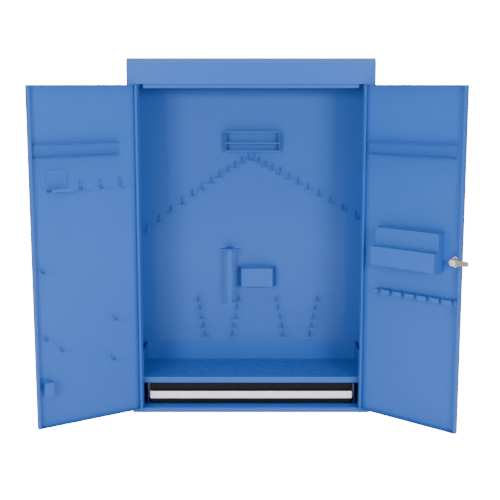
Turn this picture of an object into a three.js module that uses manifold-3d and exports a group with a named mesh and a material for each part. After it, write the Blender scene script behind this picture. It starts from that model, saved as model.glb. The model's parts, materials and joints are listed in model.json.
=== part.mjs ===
// Wall tool cabinet in folded sheet steel: a body with welded tool hooks, two pan doors on piano
// hinges, a tool tray and one shallow drawer on ball-bearing slides.
// Millimetres. +X to the right, +Y to the back, +Z up. The origin is the centre of the base.
// The doors stand open.

import * as THREE from 'three';
import { mergeVertices } from 'three/addons/utils/BufferGeometryUtils.js';
import Module from 'manifold-3d';

const wasm = await Module();
wasm.setup();

// ---- driving dimensions ----

const WIDTH = 610;
const DEPTH = 200;
const HEIGHT = 900;
const SHEET = 1.2; // sheet steel
const GAP = 0.3; // between touching pieces

const HALF = WIDTH / 2;
const FRONT = -DEPTH / 2;
const BACK = DEPTH / 2;
const HEADER_BOTTOM = 837;
const HEADER_BEVEL = 11;
const SILL_TOP = 13;
const SILL_DEPTH = 38;
const RECESS_HALF = 287; // inner faces of the front posts
const RECESS_DEPTH = 15;
const OPENING_HALF = 277; // inner edges of the door stops
const TOP_STOP_HALF = 266;
const TOP_STOP_DROP = 10;

const TRAY_TOP = 88.5;
const TRAY_HALF = 286;
const TRAY_FRONT = -78;
const TRAY_LIP = 15;
const TRAY_BACK_RISE = 50;
const TRAY_SIDE_RISE = 49;

const DOOR_OPEN_LEFT = THREE.MathUtils.degToRad(145.9);
const DOOR_OPEN_RIGHT = THREE.MathUtils.degToRad(137.7);
const DOOR_DEPTH = 12;
const DOOR_LIP = 5;
const DOOR_BOTTOM = 14.5;
const DOOR_TOP = 835.5;
const DOOR_NEAR = 3; // from the hinge axis to the door's hinge edge
const DOOR_FAR = 282.5; // from the hinge axis to its free edge

const HINGE_X = 284;
const HINGE_PROUD = 1.5; // hinge axis ahead of the front face
const HINGE_BOTTOM = 20;
const HINGE_TOP = 830;
const HINGE_LEAF = 1;
const HINGE_LEAF_REACH = 12.5;
const KNUCKLES = 16;
const KNUCKLE_RADIUS = 2.7;
const KNUCKLE_BORE = 1.4;
const HINGE_PIN_RADIUS = 1.25;
const KNUCKLE_GAP = 0.4;

const DRAWER_HALF = 255.3;
const DRAWER_FRONT_HALF = 263;
const DRAWER_FRONT_BACK = -57.4;
const DRAWER_BACK = 88;
const DRAWER_BOTTOM = 18;
const DRAWER_TOP = 62;
const PULL_HALF = 262.4;
const PULL_SHEET = 1.6;
const BAR_STEEL = 1.6;
const CHEEK_INNER = 268.5;
const SLIDE_FRONT = -55;
const SLIDE_BACK = 89;
const SLIDE_LEVEL = 45.5; // centre line of both slides
const SLIDE_MEMBERS = {
  outer: { web: -268.2, edge: -258.5, height: 35 },
  middle: { web: -265.6, edge: -257.8, height: 30.2 },
  inner: { web: -255.6, edge: -263, height: 23 },
};
const RIVET_SPOTS = [-30, 62];
const LEVER_OUTSIDE = -259.8;
const LEVER_INSIDE = -258.2;
const LEVER_PIVOT = 50;

const WALL_HOLE = 4.5; // radius
const WALL_HOLE_HALF = 130;
const WALL_HOLES_LOW = 60;
const WALL_HOLES_HIGH = 862; // behind the header

const HOOK_ROD = 2.3; // radius
const HOOK_BEND = 4;
const HOOK_ARM = 25;
const HOOK_TIP = 7;
const HOOK_SEAT = 0.5; // how deep a hook's leg is sunk into its weld
const HOOK_LEGS = { chevron: 16, column: 9, doorTall: 20, doorShort: 8 };

const LOCK_REACH = 264; // from the hinge axis
const LOCK_HEIGHT = 428;
const LOCK_BARREL = 13.5; // from the door's outer face to the barrel's inner end

// ---- colours ----

const BLUE = { color: 0x3f83c4, roughness: 0.38, metalness: 0.1 };
const BLACK = { color: 0x1c1c1e, roughness: 0.6, metalness: 0.1 };
const ALUMINIUM = { color: 0xe6e7e8, roughness: 0.3, metalness: 0.9 };
const STEEL = { color: 0x9a9ca0, roughness: 0.35, metalness: 0.9 };
const CHROME = { color: 0xd5d6d8, roughness: 0.12, metalness: 1.0 };
const ZINC = { color: 0xa8987f, roughness: 0.35, metalness: 0.9 };
const PLASTIC = { color: 0x202022, roughness: 0.5, metalness: 0.0 };

// ---- solids, joins and cuts ----

function toSolid(geometry) {
  const bare = geometry.clone();
  bare.deleteAttribute('normal');
  bare.deleteAttribute('uv');
  const merged = mergeVertices(bare);
  const triVerts = new Uint32Array(merged.index.array);
  const vertProperties = new Float32Array(merged.attributes.position.array);
  return new wasm.Manifold(new wasm.Mesh({ numProp: 3, vertProperties, triVerts }));
}

function toGeometry(solid) {
  const mesh = solid.getMesh();
  const geometry = new THREE.BufferGeometry();
  geometry.setAttribute('position', new THREE.BufferAttribute(new Float32Array(mesh.vertProperties), 3));
  geometry.setIndex(new THREE.BufferAttribute(new Uint32Array(mesh.triVerts), 1));
  geometry.computeVertexNormals();
  return geometry;
}

function join(pieces) {
  const solids = pieces.map(toSolid);
  return toGeometry(solids.slice(1).reduce((sum, next) => sum.add(next), solids[0]));
}

function cut(piece, tools) {
  return toGeometry(tools.reduce((rest, tool) => rest.subtract(toSolid(tool)), toSolid(piece)));
}

// ---- basic shapes ----

function plate([x0, x1], [y0, y1], [z0, z1]) {
  const box = new THREE.BoxGeometry(x1 - x0, y1 - y0, z1 - z0);
  return box.translate((x0 + x1) / 2, (y0 + y1) / 2, (z0 + z1) / 2);
}

// A round bar along 'x', 'y' or 'z', from one coordinate to the other.
function bar(axis, radius, from, to, at, sides = 12) {
  const geometry = new THREE.CylinderGeometry(radius, radius, to - from, sides);
  geometry.translate(0, (from + to) / 2, 0);
  if (axis === 'x') geometry.rotateZ(-Math.PI / 2);
  if (axis === 'z') geometry.rotateX(Math.PI / 2);
  return geometry.translate(...at);
}

// The outline of a bent sheet: the points lie on one face, and the thickness goes to the left of
// the direction of travel, or to the right when it is negative.
function foldedOutline(points, thickness) {
  const corners = points.map(([a, b]) => new THREE.Vector2(a, b));
  const normals = corners.slice(1).map((end, i) => {
    const along = end.clone().sub(corners[i]).normalize();
    return new THREE.Vector2(-along.y, along.x);
  });
  const offset = corners.map((corner, i) => {
    const before = normals[Math.max(i - 1, 0)];
    const after = normals[Math.min(i, normals.length - 1)];
    const mitre = before.clone().add(after).normalize();
    return corner.clone().addScaledVector(mitre, thickness / mitre.dot(after));
  });
  return new THREE.Shape([...corners, ...offset.reverse()]);
}

// Extrusions: an outline in (y, z) along X, in (x, z) along Y, and in (x, y) along Z.
function alongX(shape, from, to) {
  const geometry = new THREE.ExtrudeGeometry(shape, { depth: to - from, bevelEnabled: false });
  const toYZ = new THREE.Matrix4().set(0, 0, 1, from, 1, 0, 0, 0, 0, 1, 0, 0, 0, 0, 0, 1);
  return geometry.applyMatrix4(toYZ);
}

function alongY(shape, from, to) {
  const geometry = new THREE.ExtrudeGeometry(shape, { depth: to - from, bevelEnabled: false });
  return geometry.rotateX(Math.PI / 2).translate(0, to, 0);
}

function alongZ(shape, from, to) {
  return new THREE.ExtrudeGeometry(shape, { depth: to - from, bevelEnabled: false }).translate(0, 0, from);
}

function mirrored(geometry) {
  const copy = geometry.clone().scale(-1, 1, 1);
  const flat = copy.index ? copy.toNonIndexed() : copy;
  const position = flat.attributes.position;
  for (let i = 0; i < position.count; i += 3) {
    const second = new THREE.Vector3().fromBufferAttribute(position, i + 1);
    const third = new THREE.Vector3().fromBufferAttribute(position, i + 2);
    position.setXYZ(i + 1, third.x, third.y, third.z);
    position.setXYZ(i + 2, second.x, second.y, second.z);
  }
  flat.computeVertexNormals();
  return flat;
}

// The left piece as it is, or its mirror image for the right side.
function forSide(side, geometry) {
  return side < 0 ? geometry : mirrored(geometry);
}

// A hook bent from one rod: a leg welded up a wall, an arm towards -Y and a tip turned up. The arm
// leaves the wall at the origin.
function hook(leg) {
  const wall = HOOK_SEAT - HOOK_ROD;
  const at = (y, z) => new THREE.Vector3(0, y, z);
  const path = new THREE.CurvePath();
  path.add(new THREE.LineCurve3(at(wall, leg), at(wall, HOOK_BEND)));
  path.add(new THREE.QuadraticBezierCurve3(at(wall, HOOK_BEND), at(wall, 0), at(wall - HOOK_BEND, 0)));
  path.add(new THREE.LineCurve3(at(wall - HOOK_BEND, 0), at(HOOK_BEND - HOOK_ARM, 0)));
  path.add(new THREE.QuadraticBezierCurve3(
    at(HOOK_BEND - HOOK_ARM, 0),
    at(-HOOK_ARM, 0),
    at(-HOOK_ARM, HOOK_BEND),
  ));
  path.add(new THREE.LineCurve3(at(-HOOK_ARM, HOOK_BEND), at(-HOOK_ARM, HOOK_TIP)));
  const section = new THREE.Shape();
  const sides = 6;
  for (let i = 0; i < sides; i += 1) {
    const turn = (2 * Math.PI * i) / sides;
    section[i === 0 ? 'moveTo' : 'lineTo'](HOOK_ROD * Math.cos(turn), HOOK_ROD * Math.sin(turn));
  }
  return new THREE.ExtrudeGeometry(section, { steps: 12, extrudePath: path });
}

const cabinet = new THREE.Group();

function addPiece(name, geometry, finish, parent = cabinet) {
  const mesh = new THREE.Mesh(geometry, new THREE.MeshStandardMaterial(finish));
  mesh.name = name;
  parent.add(mesh);
}

// ---- body shell ----

// Side wall with the front post, the recess for the door and its stop folded from it.
function sidePanel() {
  const wall = new THREE.Shape([
    new THREE.Vector2(FRONT, 0),
    new THREE.Vector2(BACK, 0),
    new THREE.Vector2(BACK, HEIGHT),
    new THREE.Vector2(FRONT + HEADER_BEVEL, HEIGHT),
    new THREE.Vector2(FRONT, HEIGHT - HEADER_BEVEL),
  ]);
  const post = foldedOutline([
    [-HALF, FRONT + RECESS_DEPTH],
    [-HALF, FRONT],
    [-RECESS_HALF, FRONT],
    [-RECESS_HALF, FRONT + RECESS_DEPTH],
    [-OPENING_HALF, FRONT + RECESS_DEPTH],
  ], SHEET);
  return join([
    alongX(wall, -HALF, SHEET - HALF),
    alongZ(post, SILL_TOP + GAP, HEADER_BOTTOM - GAP),
  ]);
}

// Top sheet, bevel, header, the header's return and the stop for the doors' top edges.
function topPanel() {
  const half = HALF - SHEET - GAP;
  const stopFace = FRONT + RECESS_DEPTH;
  const fold = foldedOutline([
    [BACK - SHEET - GAP, HEIGHT],
    [FRONT + HEADER_BEVEL, HEIGHT],
    [FRONT, HEIGHT - HEADER_BEVEL],
    [FRONT, HEADER_BOTTOM],
    [stopFace, HEADER_BOTTOM],
    [stopFace, HEADER_BOTTOM - TOP_STOP_DROP],
  ], SHEET);
  const across = [stopFace - 1, stopFace + SHEET + 1];
  const drop = [HEADER_BOTTOM - TOP_STOP_DROP - 1, HEADER_BOTTOM];
  const relief = [[-HALF, -TOP_STOP_HALF], [TOP_STOP_HALF, HALF]].map((ends) => plate(ends, across, drop));
  return cut(alongX(fold, -half, half), relief);
}

// Floor with the front sill folded up, back and down again.
function bottomPanel() {
  const half = HALF - SHEET - GAP;
  const fold = foldedOutline([
    [BACK - SHEET - GAP, 0],
    [FRONT, 0],
    [FRONT, SILL_TOP],
    [FRONT + SILL_DEPTH, SILL_TOP],
    [FRONT + SILL_DEPTH, SILL_TOP - 7],
  ], -SHEET);
  const holes = [-1, 1].map((side) => bar('z', 3.5, SILL_TOP - 3, SILL_TOP + 1, [side * 234, -74, 0]));
  return cut(alongX(fold, -half, half), holes);
}

// Hook roots on the back wall: a chevron of two arms that open out downwards.
function chevronRoots() {
  const arms = [
    { side: -1, apex: 640, pitch: 16, spread: 0.78, slope: 0.58, curve: 0.0005 },
    { side: 1, apex: 637, pitch: 13.5, spread: 1.02, slope: 0.5, curve: 0.00025 },
  ];
  return arms.flatMap(({ side, apex, pitch, spread, slope, curve }) => (
    Array.from({ length: 12 }, (_, i) => {
      const run = pitch * i + spread * i * i;
      return [side * (8 + run), apex - slope * run - curve * run * run];
    })
  ));
}

// Four slanted columns of hooks below it.
function columnRoots() {
  const columns = [[-145, 1], [-34, -1], [70, 1], [180, -1]];
  const pitch = 24.5;
  const lean = 4.6;
  const top = 256;
  return columns.flatMap(([x, side]) => (
    Array.from({ length: 5 }, (_, i) => [x + side * lean * i, top - pitch * i])
  ));
}

function backPanel() {
  const half = HALF - SHEET - GAP;
  const inner = BACK - SHEET;
  const hooks = [
    ...chevronRoots().map(([x, z]) => hook(HOOK_LEGS.chevron).translate(x, inner, z)),
    ...columnRoots().map(([x, z]) => hook(HOOK_LEGS.column).translate(x, inner, z)),
  ];
  const sheet = plate([-half, half], [inner, BACK], [0, HEIGHT]);
  const holes = [-WALL_HOLE_HALF, WALL_HOLE_HALF].flatMap((x) => (
    [WALL_HOLES_LOW, WALL_HOLES_HIGH].map((z) => bar('y', WALL_HOLE, inner - 1, BACK + 1, [x, 0, z]))
  ));
  return cut(join([sheet, ...hooks]), holes);
}

for (const [side, word] of [[-1, 'left'], [1, 'right']]) {
  addPiece(`${word}_side_panel`, forSide(side, sidePanel()), BLUE);
}
addPiece('top_panel', topPanel(), BLUE);
addPiece('bottom_panel', bottomPanel(), BLUE);
addPiece('back_panel', backPanel(), BLUE);

// ---- fittings on the back wall ----

// Open rack of three ledges between two side plates, the upper two drilled for bits.
function bitRack() {
  const [left, right] = [-68, 75];
  const [top, middle, bottom] = [714, 685, 664];
  const back = BACK - SHEET - GAP;
  const front = back - 25;
  const lip = 4;
  const ledges = [top, middle, bottom].flatMap((z) => [
    plate([left, right], [front, back], [z - SHEET, z]),
    plate([left, right], [front, front + SHEET], [z - lip, z]),
  ]);
  const sides = [left, right - SHEET].map((x) => plate([x, x + SHEET], [front, back], [bottom - lip, top]));
  const web = plate([left, right], [back - SHEET, back], [bottom - lip, top]);
  const drilled = [[top, 3.5], [middle, 2.5]].flatMap(([z, radius]) => (
    Array.from({ length: 8 }, (_, i) => (
      bar('z', radius, z - SHEET - 1, z + 1, [left + 16 + 15.9 * i, front + 13, 0], 8)
    ))
  ));
  return cut(join([...ledges, ...sides, web]), drilled);
}

// Long flat bar that stands off the wall under a wide head, its foot turned back to the wall.
function longToolBar() {
  const x = -57;
  const back = BACK - SHEET - GAP;
  const front = 53;
  const [top, foot] = [401.6, 256];
  return join([
    plate([x - 25, x + 25], [front, front + 20], [top - BAR_STEEL, top]),
    plate([x - 10, x + 10], [front, back], [top - BAR_STEEL, top]),
    plate([x - 14, x + 14], [back - BAR_STEEL, back], [top - 20, top]),
    plate([x - 5, x + 5], [front, front + BAR_STEEL], [foot, top]),
    plate([x - 5, x + 5], [front, back], [foot, foot + BAR_STEEL]),
    plate([x - 5, x + 5], [back - BAR_STEEL, back], [foot - 10, foot + BAR_STEEL]),
  ]);
}

// Small pocket: a front with slanted sides, open at the top and to the wall behind.
function backPocket() {
  const back = BACK - SHEET - GAP;
  const front = 61;
  const [bottom, top] = [298, 348];
  const walls = foldedOutline([[-36, back], [-26, front], [58, front], [68, back]], SHEET);
  const floor = new THREE.Shape([
    new THREE.Vector2(-36, back),
    new THREE.Vector2(-26, front),
    new THREE.Vector2(58, front),
    new THREE.Vector2(68, back),
  ]);
  const pocket = join([alongZ(walls, bottom, top), alongZ(floor, bottom, bottom + SHEET)]);
  return cut(pocket, [plate([-40, 72], [back, back + 2], [bottom - 1, top + 1])]);
}

addPiece('bit_rack', bitRack(), BLUE);
addPiece('long_tool_bar', longToolBar(), BLUE);
addPiece('back_pocket', backPocket(), BLUE);

// ---- tool tray and the cheeks that carry it ----

function toolTray() {
  const back = BACK - SHEET - GAP;
  const low = TRAY_TOP - SHEET;
  const sides = [-TRAY_HALF, TRAY_HALF - SHEET].map((x) => (
    plate([x, x + SHEET], [TRAY_FRONT, back], [low, TRAY_TOP + TRAY_SIDE_RISE])
  ));
  return join([
    plate([-TRAY_HALF, TRAY_HALF], [TRAY_FRONT, back], [low, TRAY_TOP]),
    plate([-TRAY_HALF, TRAY_HALF], [TRAY_FRONT, TRAY_FRONT + SHEET], [TRAY_TOP - TRAY_LIP, TRAY_TOP]),
    plate([-TRAY_HALF, TRAY_HALF], [back - SHEET, back], [low, TRAY_TOP + TRAY_BACK_RISE]),
    ...sides,
  ]);
}

function drawerCheek() {
  const top = TRAY_TOP - SHEET - GAP;
  const floor = SHEET + GAP;
  const flange = CHEEK_INNER + 14.5;
  const fold = foldedOutline([
    [-flange, top],
    [-CHEEK_INNER, top],
    [-CHEEK_INNER, floor],
    [-flange, floor],
  ], -SHEET);
  return alongY(fold, FRONT + SILL_DEPTH + 0.5, BACK - 4);
}

addPiece('tool_tray', toolTray(), BLUE);

// ---- drawer and its slides ----

// One member of a left slide: a channel with its web at one x and its edges at the other.
function slideMember({ web, edge, height }) {
  const turn = edge > web ? 1 : -1;
  const [bottom, top] = [SLIDE_LEVEL - height / 2, SLIDE_LEVEL + height / 2];
  const channel = foldedOutline([[edge, top], [web, top], [web, bottom], [edge, bottom]], turn * SHEET);
  return alongY(channel, SLIDE_FRONT, SLIDE_BACK);
}

function rivetHoles() {
  return RIVET_SPOTS.map((y) => bar('x', 2.1, -258, -253, [0, y, SLIDE_LEVEL]));
}

// Release lever of a left slide: a flat strip on a boss, with a finger tab at its front.
function slideLever() {
  const levels = [SLIDE_LEVEL - 2.7, SLIDE_LEVEL + 2.7];
  return join([
    plate([LEVER_OUTSIDE, LEVER_INSIDE], [4, LEVER_PIVOT + 2], levels),
    bar('x', 4.5, LEVER_OUTSIDE, LEVER_INSIDE + 1.1, [0, LEVER_PIVOT, SLIDE_LEVEL]),
    plate([LEVER_OUTSIDE - 1.8, LEVER_INSIDE], [0, 6], levels),
  ]);
}

// Floor of the box, between its sides.
function drawerFloor() {
  const half = DRAWER_HALF - SHEET - GAP;
  return plate([-half, half], [DRAWER_FRONT_BACK + GAP, DRAWER_BACK], [DRAWER_BOTTOM, DRAWER_BOTTOM + SHEET]);
}

// Left side of the box.
function drawerSide() {
  const side = plate(
    [-DRAWER_HALF, SHEET - DRAWER_HALF],
    [DRAWER_FRONT_BACK + GAP, DRAWER_BACK],
    [DRAWER_BOTTOM, DRAWER_TOP],
  );
  return cut(side, rivetHoles());
}

// Back of the box, on the floor between the sides.
function drawerBack() {
  const half = DRAWER_HALF - SHEET - GAP;
  return plate([-half, half], [DRAWER_BACK - SHEET, DRAWER_BACK], [DRAWER_BOTTOM + SHEET + GAP, DRAWER_TOP]);
}

// Folded front with a proud upper band over a set-back finger groove.
function drawerFront() {
  const groove = DRAWER_FRONT_BACK - SHEET;
  const proud = groove - 6.4;
  const fold = foldedOutline([
    [DRAWER_FRONT_BACK, 70],
    [proud, 70],
    [proud, 53],
    [groove, 53],
    [groove, 15],
  ], SHEET);
  return alongX(fold, -DRAWER_FRONT_HALF, DRAWER_FRONT_HALF);
}

// Full-width pull, open at the top for the fingers.
function drawerPull() {
  const back = DRAWER_FRONT_BACK - SHEET - GAP;
  const front = back - 12.1;
  const fold = foldedOutline([[back, 44], [back, 29], [front, 29], [front, 48]], -PULL_SHEET);
  return alongX(fold, -PULL_HALF, PULL_HALF);
}

function slideRivet(y) {
  const dome = bar('x', 3.2, -258, -257.1, [0, y, SLIDE_LEVEL]);
  const shank = bar('x', 1.8, -257.5, -253.2, [0, y, SLIDE_LEVEL]);
  const tail = bar('x', 3, -253.8, -252.6, [0, y, SLIDE_LEVEL]);
  return join([dome, shank, tail]);
}

addPiece('drawer_floor', drawerFloor(), BLACK);
addPiece('drawer_back', drawerBack(), BLACK);
addPiece('drawer_front', drawerFront(), BLACK);
addPiece('drawer_pull', drawerPull(), ALUMINIUM);

for (const [side, word] of [[-1, 'left'], [1, 'right']]) {
  const { outer, middle, inner } = SLIDE_MEMBERS;
  addPiece(`${word}_drawer_side`, forSide(side, drawerSide()), BLACK);
  addPiece(`${word}_drawer_cheek`, forSide(side, drawerCheek()), BLUE);
  addPiece(`${word}_slide_outer`, forSide(side, slideMember(outer)), STEEL);
  addPiece(`${word}_slide_middle`, forSide(side, slideMember(middle)), STEEL);
  addPiece(`${word}_slide_inner`, forSide(side, cut(slideMember(inner), rivetHoles())), STEEL);
  addPiece(`${word}_slide_lever`, forSide(side, slideLever()), PLASTIC);
  RIVET_SPOTS.forEach((y, i) => {
    addPiece(`${word}_slide_rivet_${i + 1}`, forSide(side, slideRivet(y)), STEEL);
  });
}

// ---- hinges ----

// A leaf and its half of the knuckles around the Z axis, its plate on the +X side.
function hingeLeaf(first) {
  const pitch = (HINGE_TOP - HINGE_BOTTOM) / KNUCKLES;
  const [near, far] = [KNUCKLE_RADIUS - HINGE_LEAF, KNUCKLE_RADIUS];
  const clear = KNUCKLE_RADIUS + KNUCKLE_GAP;
  const pieces = [plate([near, far], [clear, HINGE_LEAF_REACH], [HINGE_BOTTOM, HINGE_TOP])];
  for (let i = first; i < KNUCKLES; i += 2) {
    const foot = HINGE_BOTTOM + pitch * i;
    const span = [foot + KNUCKLE_GAP / 2, foot + pitch - KNUCKLE_GAP / 2];
    pieces.push(bar('z', KNUCKLE_RADIUS, span[0], span[1], [0, 0, 0]));
    pieces.push(plate([near, far], [0, clear + 1], span));
  }
  return cut(join(pieces), [bar('z', KNUCKLE_BORE, HINGE_BOTTOM - 1, HINGE_TOP + 1, [0, 0, 0])]);
}

// ---- doors ----
// A door is drawn closed, seen from its hinge axis: x runs to the free edge, y into the cabinet.

const FACE = HINGE_PROUD; // the door's outer face
const LINING = FACE + SHEET + GAP; // where a fitting meets its inner face

function doorPan() {
  const rim = FACE + DOOR_DEPTH;
  const fold = foldedOutline([
    [DOOR_NEAR + DOOR_LIP, rim],
    [DOOR_NEAR, rim],
    [DOOR_NEAR, FACE],
    [DOOR_FAR, FACE],
    [DOOR_FAR, rim],
    [DOOR_FAR - DOOR_LIP, rim],
  ], SHEET);
  return join([
    alongZ(fold, DOOR_BOTTOM, DOOR_TOP),
    plate([DOOR_NEAR, DOOR_FAR], [FACE, rim], [DOOR_BOTTOM, DOOR_BOTTOM + SHEET]),
    plate([DOOR_NEAR, DOOR_FAR], [FACE, rim], [DOOR_TOP - SHEET, DOOR_TOP]),
  ]);
}

// Hooks on the left door, each a rod of its own.
function doorHooks() {
  const tall = [[49, 590], [102, 590], [154, 590]];
  const short = [[258, 397], [72, 260], [255, 233], [216, 201], [80, 159]];
  const hooks = (leg, spots) => spots.map(([x, z]) => (
    hook(leg).rotateZ(Math.PI).translate(x, LINING + HOOK_SEAT, z)
  ));
  return [...hooks(HOOK_LEGS.doorTall, tall), ...hooks(HOOK_LEGS.doorShort, short)];
}

function rightDoorPanel() {
  return cut(doorPan(), [bar('y', 9.7, FACE - 1, FACE + SHEET + 1, [LOCK_REACH, 0, LOCK_HEIGHT], 20)]);
}

// Channel for drivers: two drilled ledges on a web, one above the other.
function doorRack(near, far) {
  const [bottom, top] = [668, 700];
  const channel = foldedOutline([
    [LINING + 18, bottom],
    [LINING, bottom],
    [LINING, top],
    [LINING + 18, top],
  ], -SHEET);
  const count = Math.floor((far - near) / 25);
  const start = (near + far - 25 * (count - 1)) / 2;
  const holes = [[top, 4], [bottom, 3]].flatMap(([z, radius]) => (
    Array.from({ length: count }, (_, i) => (
      bar('z', radius, z - SHEET - 1, z + SHEET + 1, [start + 25 * i, LINING + 10, 0], 8)
    ))
  ));
  return cut(alongX(channel, near, far), holes);
}

// Angle with two slots for plier handles and a turned-up front edge.
function pliersBracket() {
  const [near, far] = [186, 240];
  const [bottom, top] = [588, 638];
  const fold = foldedOutline([
    [LINING, top],
    [LINING, bottom],
    [LINING + 32, bottom],
    [LINING + 32, bottom + 7],
  ], SHEET);
  const slots = [199, 227].map((x) => (
    plate([x - 7, x + 7], [LINING + 8, LINING + 24], [bottom - 1, bottom + 3])
  ));
  return cut(alongX(fold, near, far), slots);
}

// Square plate that stands off the door on one web.
function tapeBracket() {
  const fold = foldedOutline([
    [232, LINING],
    [247, LINING],
    [247, LINING + 22],
    [270, LINING + 22],
  ], SHEET);
  return alongZ(fold, 97, 131);
}

const BIN = { near: 54, far: 233, bottom: 402, rear: 27, front: 18 };

// Rear tier of the bin: the door closes its back.
function binRear() {
  const front = LINING + BIN.rear;
  const top = 493;
  const ears = [[BIN.near - 12, BIN.near + SHEET], [BIN.far - SHEET, BIN.far + 12]].map((span) => (
    plate(span, [LINING, LINING + SHEET], [433, top])
  ));
  return join([
    plate([BIN.near, BIN.far], [front - SHEET, front], [BIN.bottom, top]),
    plate([BIN.near, BIN.far], [LINING, front], [BIN.bottom, BIN.bottom + SHEET]),
    plate([BIN.near, BIN.near + SHEET], [LINING, front], [BIN.bottom, top]),
    plate([BIN.far - SHEET, BIN.far], [LINING, front], [BIN.bottom, top]),
    ...ears,
  ]);
}

// Front tier, lower than the rear one.
function binFront() {
  const back = LINING + BIN.rear + GAP;
  const front = back + BIN.front - GAP;
  const top = 448;
  return join([
    plate([BIN.near, BIN.far], [front - SHEET, front], [BIN.bottom, top]),
    plate([BIN.near, BIN.far], [back, front], [BIN.bottom, BIN.bottom + SHEET]),
    plate([BIN.near, BIN.near + SHEET], [back, front], [BIN.bottom, top]),
    plate([BIN.far - SHEET, BIN.far], [back, front], [BIN.bottom, top]),
  ]);
}

// Ledge with open-ended slots and a down-turned front edge.
function slottedRack() {
  const [near, far] = [46, 277];
  const pitch = 34.8;
  const depth = 16;
  const fold = foldedOutline([
    [LINING, 316],
    [LINING, 337],
    [LINING + depth, 337],
    [LINING + depth, 326],
  ], -SHEET);
  const slots = Array.from({ length: 7 }, (_, i) => {
    const x = 61.5 + pitch * i;
    return plate([x - 5, x + 5], [LINING + 5, LINING + depth + 1], [325, 338]);
  });
  return cut(alongX(fold, near, far), slots);
}

// ---- cam lock ----

const CAM_THICKNESS = 2;
const CAM_LENGTH = 36; // between the centres of its round ends
const CAM_FACE = FACE + LOCK_BARREL + 1 + CAM_THICKNESS; // its face towards the cabinet

function lockHousing() {
  const head = bar('y', 11.5, FACE - GAP - 3, FACE - GAP, [0, 0, 0], 20);
  const barrel = bar('y', 9.3, FACE - GAP - 1, FACE + LOCK_BARREL, [0, 0, 0], 20);
  const bore = bar('y', 6.7, FACE - GAP - 4, FACE + LOCK_BARREL + 1, [0, 0, 0], 16);
  return cut(join([head, barrel]), [bore]);
}

function lockNut() {
  const nut = bar('y', 13.5, LINING, LINING + 3, [0, 0, 0], 6);
  return cut(nut, [bar('y', 9.6, LINING - 1, LINING + 4, [0, 0, 0], 20)]);
}

function lockPlug() {
  const end = FACE + LOCK_BARREL + 0.5;
  const plug = bar('y', 6.4, FACE - GAP - 2.6, end, [0, 0, 0], 16);
  const tail = bar('y', 2.8, end - 1, end + 2.8, [0, 0, 0]);
  const keyway = plate([-1, 1], [FACE - 5, FACE + 3], [-4, 4]);
  return cut(join([plug, tail]), [keyway]);
}

function lockCam() {
  const outline = new THREE.Shape();
  outline.absarc(CAM_LENGTH, 0, 6.2, -Math.PI / 2, Math.PI / 2);
  outline.absarc(0, 0, 7, Math.PI / 2, (3 * Math.PI) / 2);
  const cam = new THREE.ExtrudeGeometry(outline, {
    depth: CAM_THICKNESS,
    bevelEnabled: false,
    curveSegments: 8,
  });
  cam.rotateX(Math.PI / 2).translate(0, CAM_FACE, 0);
  return cut(cam, [bar('y', 3.1, CAM_FACE - CAM_THICKNESS - 1, CAM_FACE + 1, [0, 0, 0])]);
}

// Hexagon screw with a flange that covers the cam's hub.
function lockScrew() {
  const seat = CAM_FACE + 2 * GAP;
  const flange = bar('y', 8.6, seat, seat + 1.2, [0, 0, 0], 20);
  const head = bar('y', 7.2, seat + 1, seat + 4.4, [0, 0, 0], 6);
  const dimple = bar('y', 3.4, seat + 3.6, seat + 5, [0, 0, 0], 12);
  return cut(join([flange, head]), [dimple]);
}

for (const [side, word, angle] of [[-1, 'left', DOOR_OPEN_LEFT], [1, 'right', DOOR_OPEN_RIGHT]]) {
  const axis = new THREE.Group();
  axis.position.set(side * HINGE_X, FRONT - HINGE_PROUD, 0);
  cabinet.add(axis);
  const door = new THREE.Group();
  door.rotation.z = side * angle;
  axis.add(door);

  const pin = bar('z', HINGE_PIN_RADIUS, HINGE_BOTTOM, HINGE_TOP, [0, 0, 0]);
  addPiece(`${word}_hinge_body_leaf`, forSide(-side, hingeLeaf(0)), BLUE, axis);
  addPiece(`${word}_hinge_pin`, pin, STEEL, axis);
  addPiece(`${word}_hinge_door_leaf`, forSide(side, hingeLeaf(1)), BLUE, door);

  if (side < 0) {
    addPiece('left_door_panel', doorPan(), BLUE, door);
    doorHooks().forEach((rod, i) => addPiece(`left_door_hook_${i + 1}`, rod, BLUE, door));
    addPiece('left_door_rack', doorRack(50, 270), BLUE, door);
    addPiece('pliers_bracket', pliersBracket(), BLUE, door);
    addPiece('tape_bracket', tapeBracket(), BLUE, door);
  } else {
    addPiece('right_door_panel', mirrored(rightDoorPanel()), BLUE, door);
    addPiece('right_door_rack', mirrored(doorRack(10, 258)), BLUE, door);
    addPiece('bin_rear', mirrored(binRear()), BLUE, door);
    addPiece('bin_front', mirrored(binFront()), BLUE, door);
    addPiece('slotted_rack', mirrored(slottedRack()), BLUE, door);

    const lock = new THREE.Group();
    lock.position.set(-LOCK_REACH, 0, LOCK_HEIGHT);
    door.add(lock);
    addPiece('lock_housing', lockHousing(), CHROME, lock);
    addPiece('lock_nut', lockNut(), CHROME, lock);
    addPiece('lock_plug', lockPlug(), CHROME, lock);
    addPiece('lock_cam', mirrored(lockCam()), ZINC, lock);
    addPiece('lock_screw', lockScrew(), CHROME, lock);
  }
}

export default cabinet;
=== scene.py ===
"""Looks of a blue sheet-steel wall tool cabinet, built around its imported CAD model.

Lengths are metres unless a comment says otherwise, in the frame of the CAD model:
+X to the right, +Y to the back, +Z up.
"""

import json
import math

import bpy
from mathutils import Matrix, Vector


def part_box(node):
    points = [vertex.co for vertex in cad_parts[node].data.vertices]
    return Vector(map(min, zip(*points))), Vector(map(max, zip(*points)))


# ---- driving values: camera ----

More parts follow.
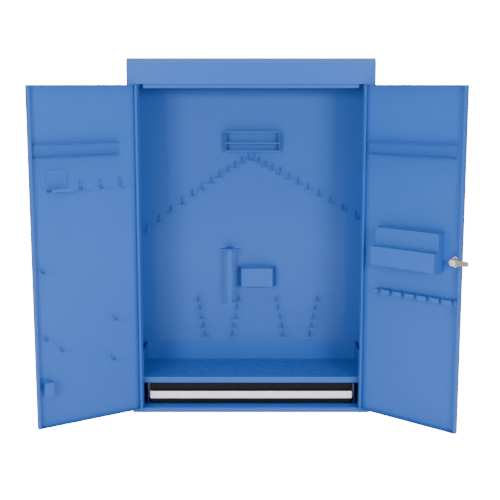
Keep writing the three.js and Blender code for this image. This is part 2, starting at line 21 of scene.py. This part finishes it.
SENSOR = 36.0  # mm
LENS = 71.4  # mm
CAMERA_AHEAD = 2.458  # in front of the side panels' front face
CAMERA_RISE = 0.93  # height, as a share of the side panels'
CAMERA_DOWN = math.radians(9.5)
CAMERA_SHIFT = -0.0022  # sideways, as a share of the image's width

# ---- driving values: lights (powers in watts) and glow strengths ----

LIGHT_DISTANCE = 3.2
LIGHT_SPREAD = math.radians(24)  # each side of the middle
LIGHT_RISE = math.radians(11)
LIGHT_WIDTH = 0.8
LIGHT_HEIGHT = 0.45
LEFT_POWER = 65
RIGHT_POWER = 61
OVERHEAD_PLACE = (0, -0.8, 3.4)
OVERHEAD_WIDTH = 3.0
OVERHEAD_DEPTH = 2.0
OVERHEAD_POWER = 70
SKY = 0.45
PAPER_LIGHT = 0.4  # the paper's own soft light, for every ray
WHITE_GLOW = 18.0  # paper and sky in the camera's view only; it lights nothing

# ---- driving values: stage ----

STAGE_REACH = 7.0  # the floor to each side and to the front, and the backdrop above its bend
STAGE_BEND = 1.6  # radius between floor and backdrop
STAGE_STEPS = 16  # flat strips in the bend
BACKDROP_BEHIND = 3.0  # from the cabinet's back to the start of the bend

# ---- driving values: edges of the parts ----

WELD_GAP = 0.00001  # corners closer than this are merged
EDGE_WIDTH = 0.0005  # of the small bevel on every part
EDGE_SEGMENTS = 3
EDGE_ANGLE = math.radians(50)  # edges that turn less than this get no bevel
SHEET_SMOOTH = math.radians(35)  # edges that turn more than this stay crisp
ROD_SMOOTH = math.radians(65)  # the same for parts with six-sided hook rods
ROD_NODES = ("back_panel", "left_door_hook")  # how their names begin
BLUE_WEAR_REACH = 0.0009  # how far in from an edge the paint is rubbed
BLACK_WEAR_REACH = 0.0008
WEAR_SAMPLES = 4

# ---- driving values: colours, linear ----

BLUE = (0.019, 0.088, 0.36)
BLUE_DARKER = (0.018, 0.084, 0.346)
BLUE_PALER = (0.020, 0.092, 0.374)
BLUE_SPECKS = (0.045, 0.14, 0.45)
BLUE_RUBBED = (0.07, 0.18, 0.50)
BLACK = (0.003, 0.003, 0.0035)
BLACK_DARKER = (0.0025, 0.0025, 0.003)
BLACK_GLINTS = (0.009, 0.009, 0.010)
BLACK_RUBBED = (0.06, 0.06, 0.064)
ALUMINIUM = (0.95, 0.945, 0.94)
ALUMINIUM_DARKER = (0.9, 0.895, 0.89)
STEEL = (0.56, 0.56, 0.57)
STEEL_DARKER = (0.42, 0.42, 0.43)
ZINC = (0.42, 0.35, 0.25)
ZINC_DARKER = (0.3, 0.25, 0.18)
CHROME = (0.72, 0.72, 0.73)
CHROME_DARKER = (0.66, 0.66, 0.68)
CHROME_PALER = (0.76, 0.76, 0.77)
PLASTIC = (0.015, 0.015, 0.016)
PLASTIC_DARKER = (0.012, 0.012, 0.012)
PLASTIC_PALER = (0.021, 0.021, 0.021)
PAPER = (0.9, 0.9, 0.9)

# ---- driving values: noise scales, in features per metre ----

TONE_DRIFT = 2.4
SHEET_WAVES = 9.0
PAPER_MOTTLE = 30.0
BLUE_GLOSS_PATCHES = 35.0
BLACK_GLOSS_PATCHES = 40.0
RUBBED_PATCHES = 60.0
HANDLING_SMEARS = 70.0
PLASTIC_CLOUDS = 90.0
METAL_GRAIN = 140.0
PLATING_RIPPLE = 300.0
ORANGE_PEEL = 420.0
BLACK_TEXTURE = 800.0
PAINT_SPECKS = 900.0
PAINT_GLINTS = 1400.0
SPARK_GRAIN = 1600.0

# How much denser a metal's grain is along X, Y and Z. It runs along the sparsest axes.
GRAIN_ALONG_X = (0.04, 3, 3)
GRAIN_ALONG_Y = (3, 0.1, 3)
GRAIN_ACROSS_Z = (0.5, 0.5, 3)

# ---- driving values: bump depths ----

WAVE_DEPTH = 0.002
PAINT_DEPTH = 0.0004
PLASTIC_DEPTH = 0.0003
METAL_DEPTH = 0.0002

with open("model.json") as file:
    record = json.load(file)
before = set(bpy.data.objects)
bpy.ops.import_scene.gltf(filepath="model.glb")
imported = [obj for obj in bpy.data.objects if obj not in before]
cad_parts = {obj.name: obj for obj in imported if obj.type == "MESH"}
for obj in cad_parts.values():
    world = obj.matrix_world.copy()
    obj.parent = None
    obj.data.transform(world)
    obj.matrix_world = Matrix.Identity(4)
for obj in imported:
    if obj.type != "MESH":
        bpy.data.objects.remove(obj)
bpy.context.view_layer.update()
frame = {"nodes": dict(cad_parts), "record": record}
record = frame["record"]
shell_low, shell_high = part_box("left_side_panel")
FRONT = shell_low.y
BACK = shell_high.y
HEIGHT = shell_high.z


# ---- shader nodes; an owner is a material or a world ----

def new_material(name, base, roughness, metallic=0.0):
    """A Principled material with its constants on the shader's own sockets."""
    material = bpy.data.materials.new(name)
    material.use_nodes = True
    shader = material.node_tree.nodes["Principled BSDF"]
    shader.inputs["Base Color"].default_value = (*base, 1)
    shader.inputs["Roughness"].default_value = roughness
    shader.inputs["Metallic"].default_value = metallic
    return material, shader


def node(owner, kind, **values):
    """A new node. Each value goes to the input of that name, or else to the setting."""
    made = owner.node_tree.nodes.new(kind)
    for key, value in values.items():
        if key in made.inputs:
            made.inputs[key].default_value = value
        else:
            setattr(made, key, value)
    return made


def link(owner, source, target):
    owner.node_tree.links.new(source, target)


def noise(material, scale, detail=4.0, density=(1, 1, 1), rough=0.5):
    """Noise over the object's own coordinates, denser along the axes where density is higher."""
    place = node(material, "ShaderNodeTexCoord")
    mapping = node(material, "ShaderNodeMapping")
    mapping.inputs["Scale"].default_value = density
    link(material, place.outputs["Object"], mapping.inputs["Vector"])
    made = node(material, "ShaderNodeTexNoise", Scale=scale, Detail=detail, Roughness=rough)
    link(material, mapping.outputs["Vector"], made.inputs["Vector"])
    return made.outputs["Fac"]


def spread(material, source, low, high, start=0.3, end=0.7):
    """The source, from start to end, turned into values from low to high."""
    made = node(material, "ShaderNodeMapRange")
    made.inputs["From Min"].default_value = start
    made.inputs["From Max"].default_value = end
    made.inputs["To Min"].default_value = low
    made.inputs["To Max"].default_value = high
    link(material, source, made.inputs["Value"])
    return made.outputs["Result"]


def blend_colours(material, factor, first, second):
    """From the first colour to the second. Each is a tuple or another node's output."""
    made = node(material, "ShaderNodeMix", data_type="RGBA")
    link(material, factor, made.inputs["Factor"])
    for socket, value in ((made.inputs[6], first), (made.inputs[7], second)):
        if isinstance(value, tuple):
            socket.default_value = (*value, 1)
        else:
            link(material, value, socket)
    return made.outputs[2]


def add_bumps(material, shader, layers):
    """Bumps one over another; each layer is (height, strength, depth)."""
    last = None
    for height, strength, depth in layers:
        bump = node(material, "ShaderNodeBump", Strength=strength, Distance=depth)
        link(material, height, bump.inputs["Height"])
        if last is not None:
            link(material, last, bump.inputs["Normal"])
        last = bump.outputs["Normal"]
    link(material, last, shader.inputs["Normal"])


def edge_wear(material, reach, amount):
    """Wear up to amount, in patches near edges, where the rounded normal leaves the true one."""
    geometry = node(material, "ShaderNodeNewGeometry")
    rounded = node(material, "ShaderNodeBevel", Radius=reach)
    rounded.samples = WEAR_SAMPLES
    match = node(material, "ShaderNodeVectorMath", operation="DOT_PRODUCT")
    link(material, geometry.outputs["Normal"], match.inputs[0])
    link(material, rounded.outputs["Normal"], match.inputs[1])
    edge = spread(material, match.outputs["Value"], amount, 0.0, start=0.75, end=0.98)
    patches = spread(material, noise(material, RUBBED_PATCHES), 0.25, 1.0, start=0.45, end=0.6)
    both = node(material, "ShaderNodeMath", operation="MULTIPLY")
    link(material, edge, both.inputs[0])
    link(material, patches, both.inputs[1])
    return both.outputs["Value"]


# ---- materials ----

def blue_powder_coat():
    """Semi-gloss powder coat: orange peel, faint tone drift, fine specks and rubbed edges."""
    material, shader = new_material("blue_powder_coat", BLUE, 0.42)
    drift = spread(material, noise(material, TONE_DRIFT, 3.0), 0.0, 1.0)
    tone = blend_colours(material, drift, BLUE_DARKER, BLUE_PALER)
    specks = spread(material, noise(material, PAINT_SPECKS, 2.0), 0.0, 0.12, start=0.45, end=0.7)
    speckled = blend_colours(material, specks, tone, BLUE_SPECKS)
    wear = edge_wear(material, BLUE_WEAR_REACH, 0.55)
    worn = blend_colours(material, wear, speckled, BLUE_RUBBED)
    link(material, worn, shader.inputs["Base Color"])
    gloss = spread(material, noise(material, BLUE_GLOSS_PATCHES, 5.0), 0.36, 0.48)
    link(material, gloss, shader.inputs["Roughness"])
    shader.inputs["Specular IOR Level"].default_value = 0.12
    shader.inputs["Coat Weight"].default_value = 0.22
    shader.inputs["Coat Roughness"].default_value = 0.14
    add_bumps(material, shader, [
        (noise(material, ORANGE_PEEL, 2.0), 0.12, PAINT_DEPTH),
        (noise(material, SHEET_WAVES, 2.0), 0.06, WAVE_DEPTH),
    ])
    return material


def black_powder_coat():
    """Fine-textured black coat with small grey glints and rubbed edges."""
    material, shader = new_material("black_powder_coat", BLACK, 0.5)
    glints = spread(material, noise(material, PAINT_GLINTS, 2.0), 0.0, 1.0, start=0.5, end=0.75)
    tone = blend_colours(material, glints, BLACK_DARKER, BLACK_GLINTS)
    wear = edge_wear(material, BLACK_WEAR_REACH, 0.6)
    worn = blend_colours(material, wear, tone, BLACK_RUBBED)
    link(material, worn, shader.inputs["Base Color"])
    gloss = spread(material, noise(material, BLACK_GLOSS_PATCHES), 0.42, 0.58)
    link(material, gloss, shader.inputs["Roughness"])
    shader.inputs["Specular IOR Level"].default_value = 0.15
    add_bumps(material, shader, [(noise(material, BLACK_TEXTURE, 3.0), 0.3, PAINT_DEPTH)])
    return material


def brushed_metal(name, base, darker, roughness, density, metallic=1.0):
    """Metal with a grain that varies its tone and its roughness."""
    material, shader = new_material(name, base, roughness, metallic)
    grain = noise(material, METAL_GRAIN, 6.0, density, 0.65)
    tone = blend_colours(material, spread(material, grain, 0.0, 1.0), darker, base)
    link(material, tone, shader.inputs["Base Color"])
    gloss = spread(material, grain, roughness - 0.06, roughness + 0.08)
    link(material, gloss, shader.inputs["Roughness"])
    shader.inputs["Anisotropic"].default_value = 0.5
    add_bumps(material, shader, [(grain, 0.15, METAL_DEPTH)])
    return material


def plated_chrome():
    """Bright plating with faint handling smears."""
    material, shader = new_material("lock_chrome_plate", CHROME, 0.1, 1.0)
    smears = noise(material, HANDLING_SMEARS, 5.0)
    link(material, spread(material, smears, 0.06, 0.2), shader.inputs["Roughness"])
    tone = blend_colours(material, spread(material, smears, 0.0, 1.0), CHROME_DARKER, CHROME_PALER)
    link(material, tone, shader.inputs["Base Color"])
    add_bumps(material, shader, [(noise(material, PLATING_RIPPLE, 2.0), 0.05, METAL_DEPTH)])
    return material


def moulded_plastic():
    """Black moulding with a fine spark-eroded grain."""
    material, shader = new_material("moulded_black", PLASTIC, 0.48)
    grain = noise(material, SPARK_GRAIN, 3.0)
    link(material, spread(material, grain, 0.4, 0.56), shader.inputs["Roughness"])
    clouds = spread(material, noise(material, PLASTIC_CLOUDS), 0.0, 1.0)
    tone = blend_colours(material, clouds, PLASTIC_DARKER, PLASTIC_PALER)
    link(material, tone, shader.inputs["Base Color"])
    add_bumps(material, shader, [(grain, 0.25, PLASTIC_DEPTH)])
    return material


MATERIALS = {
    "blue_paint": blue_powder_coat(),
    "black_paint": black_powder_coat(),
    "aluminium": brushed_metal(
        "satin_aluminium", ALUMINIUM, ALUMINIUM_DARKER, 0.36, GRAIN_ALONG_X, metallic=0.6
    ),
    "slide_steel": brushed_metal("plated_steel", STEEL, STEEL_DARKER, 0.34, GRAIN_ALONG_Y),
    "lock_chrome": plated_chrome(),
    "cam_zinc": brushed_metal("yellow_zinc", ZINC, ZINC_DARKER, 0.34, GRAIN_ACROSS_Z),
    "lever_plastic": moulded_plastic(),
}


# ---- CAD parts: finish and softened edges ----

def smooth_group(name, angle):
    """Nodes that shade faces smoothly and keep the edges above the angle crisp."""
    group = bpy.data.node_groups.new(name, "GeometryNodeTree")
    for way in ("INPUT", "OUTPUT"):
        group.interface.new_socket("Geometry", in_out=way, socket_type="NodeSocketGeometry")
    start = group.nodes.new("NodeGroupInput")
    faces = group.nodes.new("GeometryNodeSetShadeSmooth")
    edges = group.nodes.new("GeometryNodeSetShadeSmooth")
    edges.domain = "EDGE"
    turn = group.nodes.new("GeometryNodeInputMeshEdgeAngle")
    below = group.nodes.new("FunctionNodeCompare")
    below.operation = "LESS_THAN"
    below.inputs["B"].default_value = angle
    end = group.nodes.new("NodeGroupOutput")
    group.links.new(turn.outputs["Unsigned Angle"], below.inputs["A"])
    group.links.new(below.outputs["Result"], edges.inputs["Shade Smooth"])
    group.links.new(start.outputs["Geometry"], faces.inputs["Geometry"])
    group.links.new(faces.outputs["Geometry"], edges.inputs["Geometry"])
    group.links.new(edges.outputs["Geometry"], end.inputs["Geometry"])
    return group


def soften(part, group):
    """Merges split corners, rounds the edges slightly and evens out the shading."""
    weld = part.modifiers.new("weld", "WELD")
    weld.merge_threshold = WELD_GAP
    bevel = part.modifiers.new("edges", "BEVEL")
    bevel.width = EDGE_WIDTH
    bevel.segments = EDGE_SEGMENTS
    bevel.limit_method = "ANGLE"
    bevel.angle_limit = EDGE_ANGLE
    bevel.loop_slide = False
    bevel.use_clamp_overlap = True
    smooth = part.modifiers.new("smooth", "NODES")
    smooth.node_group = group
    normals = part.modifiers.new("normals", "WEIGHTED_NORMAL")
    normals.keep_sharp = True


def finish_parts():
    """Gives every CAD part its material and its softened edges."""
    sheet_group = smooth_group("sheet_smooth", SHEET_SMOOTH)
    rod_group = smooth_group("rod_smooth", ROD_SMOOTH)
    for entry in record["subparts"]:
        part = frame["nodes"][entry["node"]]
        part.data.materials.clear()
        part.data.materials.append(MATERIALS[entry["material_slot"]])
        soften(part, rod_group if entry["node"].startswith(ROD_NODES) else sheet_group)


# ---- floor, backdrop, lights, sky and camera ----

def white_glow(owner, strength):
    """The strength for every ray, and the white glow on top of it in the camera's view."""
    seen = node(owner, "ShaderNodeLightPath")
    glow = node(owner, "ShaderNodeMath", operation="MULTIPLY_ADD")
    glow.inputs[1].default_value = WHITE_GLOW
    glow.inputs[2].default_value = strength
    link(owner, seen.outputs["Is Camera Ray"], glow.inputs[0])
    return glow.outputs["Value"]


def stage_paper():
    """Matt white paper that gives off a little light."""
    material, shader = new_material("stage_paper", PAPER, 0.8)
    shader.inputs["Emission Color"].default_value = (1, 1, 1, 1)
    link(material, white_glow(material, PAPER_LIGHT), shader.inputs["Emission Strength"])
    mottle = spread(material, noise(material, PAPER_MOTTLE), 0.75, 0.85)
    link(material, mottle, shader.inputs["Roughness"])
    return material


def stage_sheet():
    """One pale sheet: a floor that curves up into a backdrop."""
    foot = BACK + BACKDROP_BEHIND
    turns = [math.pi / 2 * i / STAGE_STEPS for i in range(STAGE_STEPS + 1)]
    curve = [
        (foot + STAGE_BEND * math.sin(turn), STAGE_BEND - STAGE_BEND * math.cos(turn))
        for turn in turns
    ]
    profile = [(-STAGE_REACH, 0.0), *curve, (foot + STAGE_BEND, STAGE_BEND + STAGE_REACH)]
    points = [(x, y, z) for x in (-STAGE_REACH, STAGE_REACH) for y, z in profile]
    count = len(profile)
    faces = [(i, i + count, i + count + 1, i + 1) for i in range(count - 1)]
    mesh = bpy.data.meshes.new("stage_sheet")
    mesh.from_pydata(points, [], faces)
    mesh.polygons.foreach_set("use_smooth", [True] * len(faces))
    mesh.materials.append(stage_paper())
    sheet = bpy.data.objects.new("stage_sheet", mesh)
    bpy.context.scene.collection.objects.link(sheet)


def area_light(name, location, target, width, height, power):
    """A rectangular light that faces the target."""
    data = bpy.data.lights.new(name, "AREA")
    data.shape = "RECTANGLE"
    data.size = width
    data.size_y = height
    data.energy = power
    light = bpy.data.objects.new(name, data)
    light.location = location
    light.rotation_euler = (Vector(target) - light.location).to_track_quat("-Z", "Y").to_euler()
    bpy.context.scene.collection.objects.link(light)


def lights():
    """One light ahead on each side, and a large one overhead."""
    middle = Vector((0, 0, HEIGHT / 2))
    flat = LIGHT_DISTANCE * math.cos(LIGHT_RISE)
    rise = LIGHT_DISTANCE * math.sin(LIGHT_RISE)
    for name, side, power in (("key_left", -1, LEFT_POWER), ("key_right", 1, RIGHT_POWER)):
        turn = side * LIGHT_SPREAD
        offset = Vector((flat * math.sin(turn), -flat * math.cos(turn), rise))
        area_light(name, middle + offset, middle, LIGHT_WIDTH, LIGHT_HEIGHT, power)
    area_light("overhead", OVERHEAD_PLACE, middle, OVERHEAD_WIDTH, OVERHEAD_DEPTH, OVERHEAD_POWER)


def sky():
    """An even white sky."""
    world = bpy.data.worlds.new("studio")
    world.use_nodes = True
    background = world.node_tree.nodes["Background"]
    background.inputs["Color"].default_value = (1, 1, 1, 1)
    link(world, white_glow(world, SKY), background.inputs["Strength"])
    bpy.context.scene.world = world


def camera():
    """A camera in front of the cabinet, above its middle, looking slightly down."""
    data = bpy.data.cameras.new("camera")
    data.sensor_width = SENSOR
    data.lens = LENS
    data.shift_x = CAMERA_SHIFT
    cam = bpy.data.objects.new("camera", data)
    cam.location = (0, FRONT - CAMERA_AHEAD, HEIGHT * CAMERA_RISE)
    cam.rotation_euler = (math.pi / 2 - CAMERA_DOWN, 0, 0)
    bpy.context.scene.collection.objects.link(cam)
    bpy.context.scene.camera = cam


finish_parts()
stage_sheet()
lights()
sky()
camera()
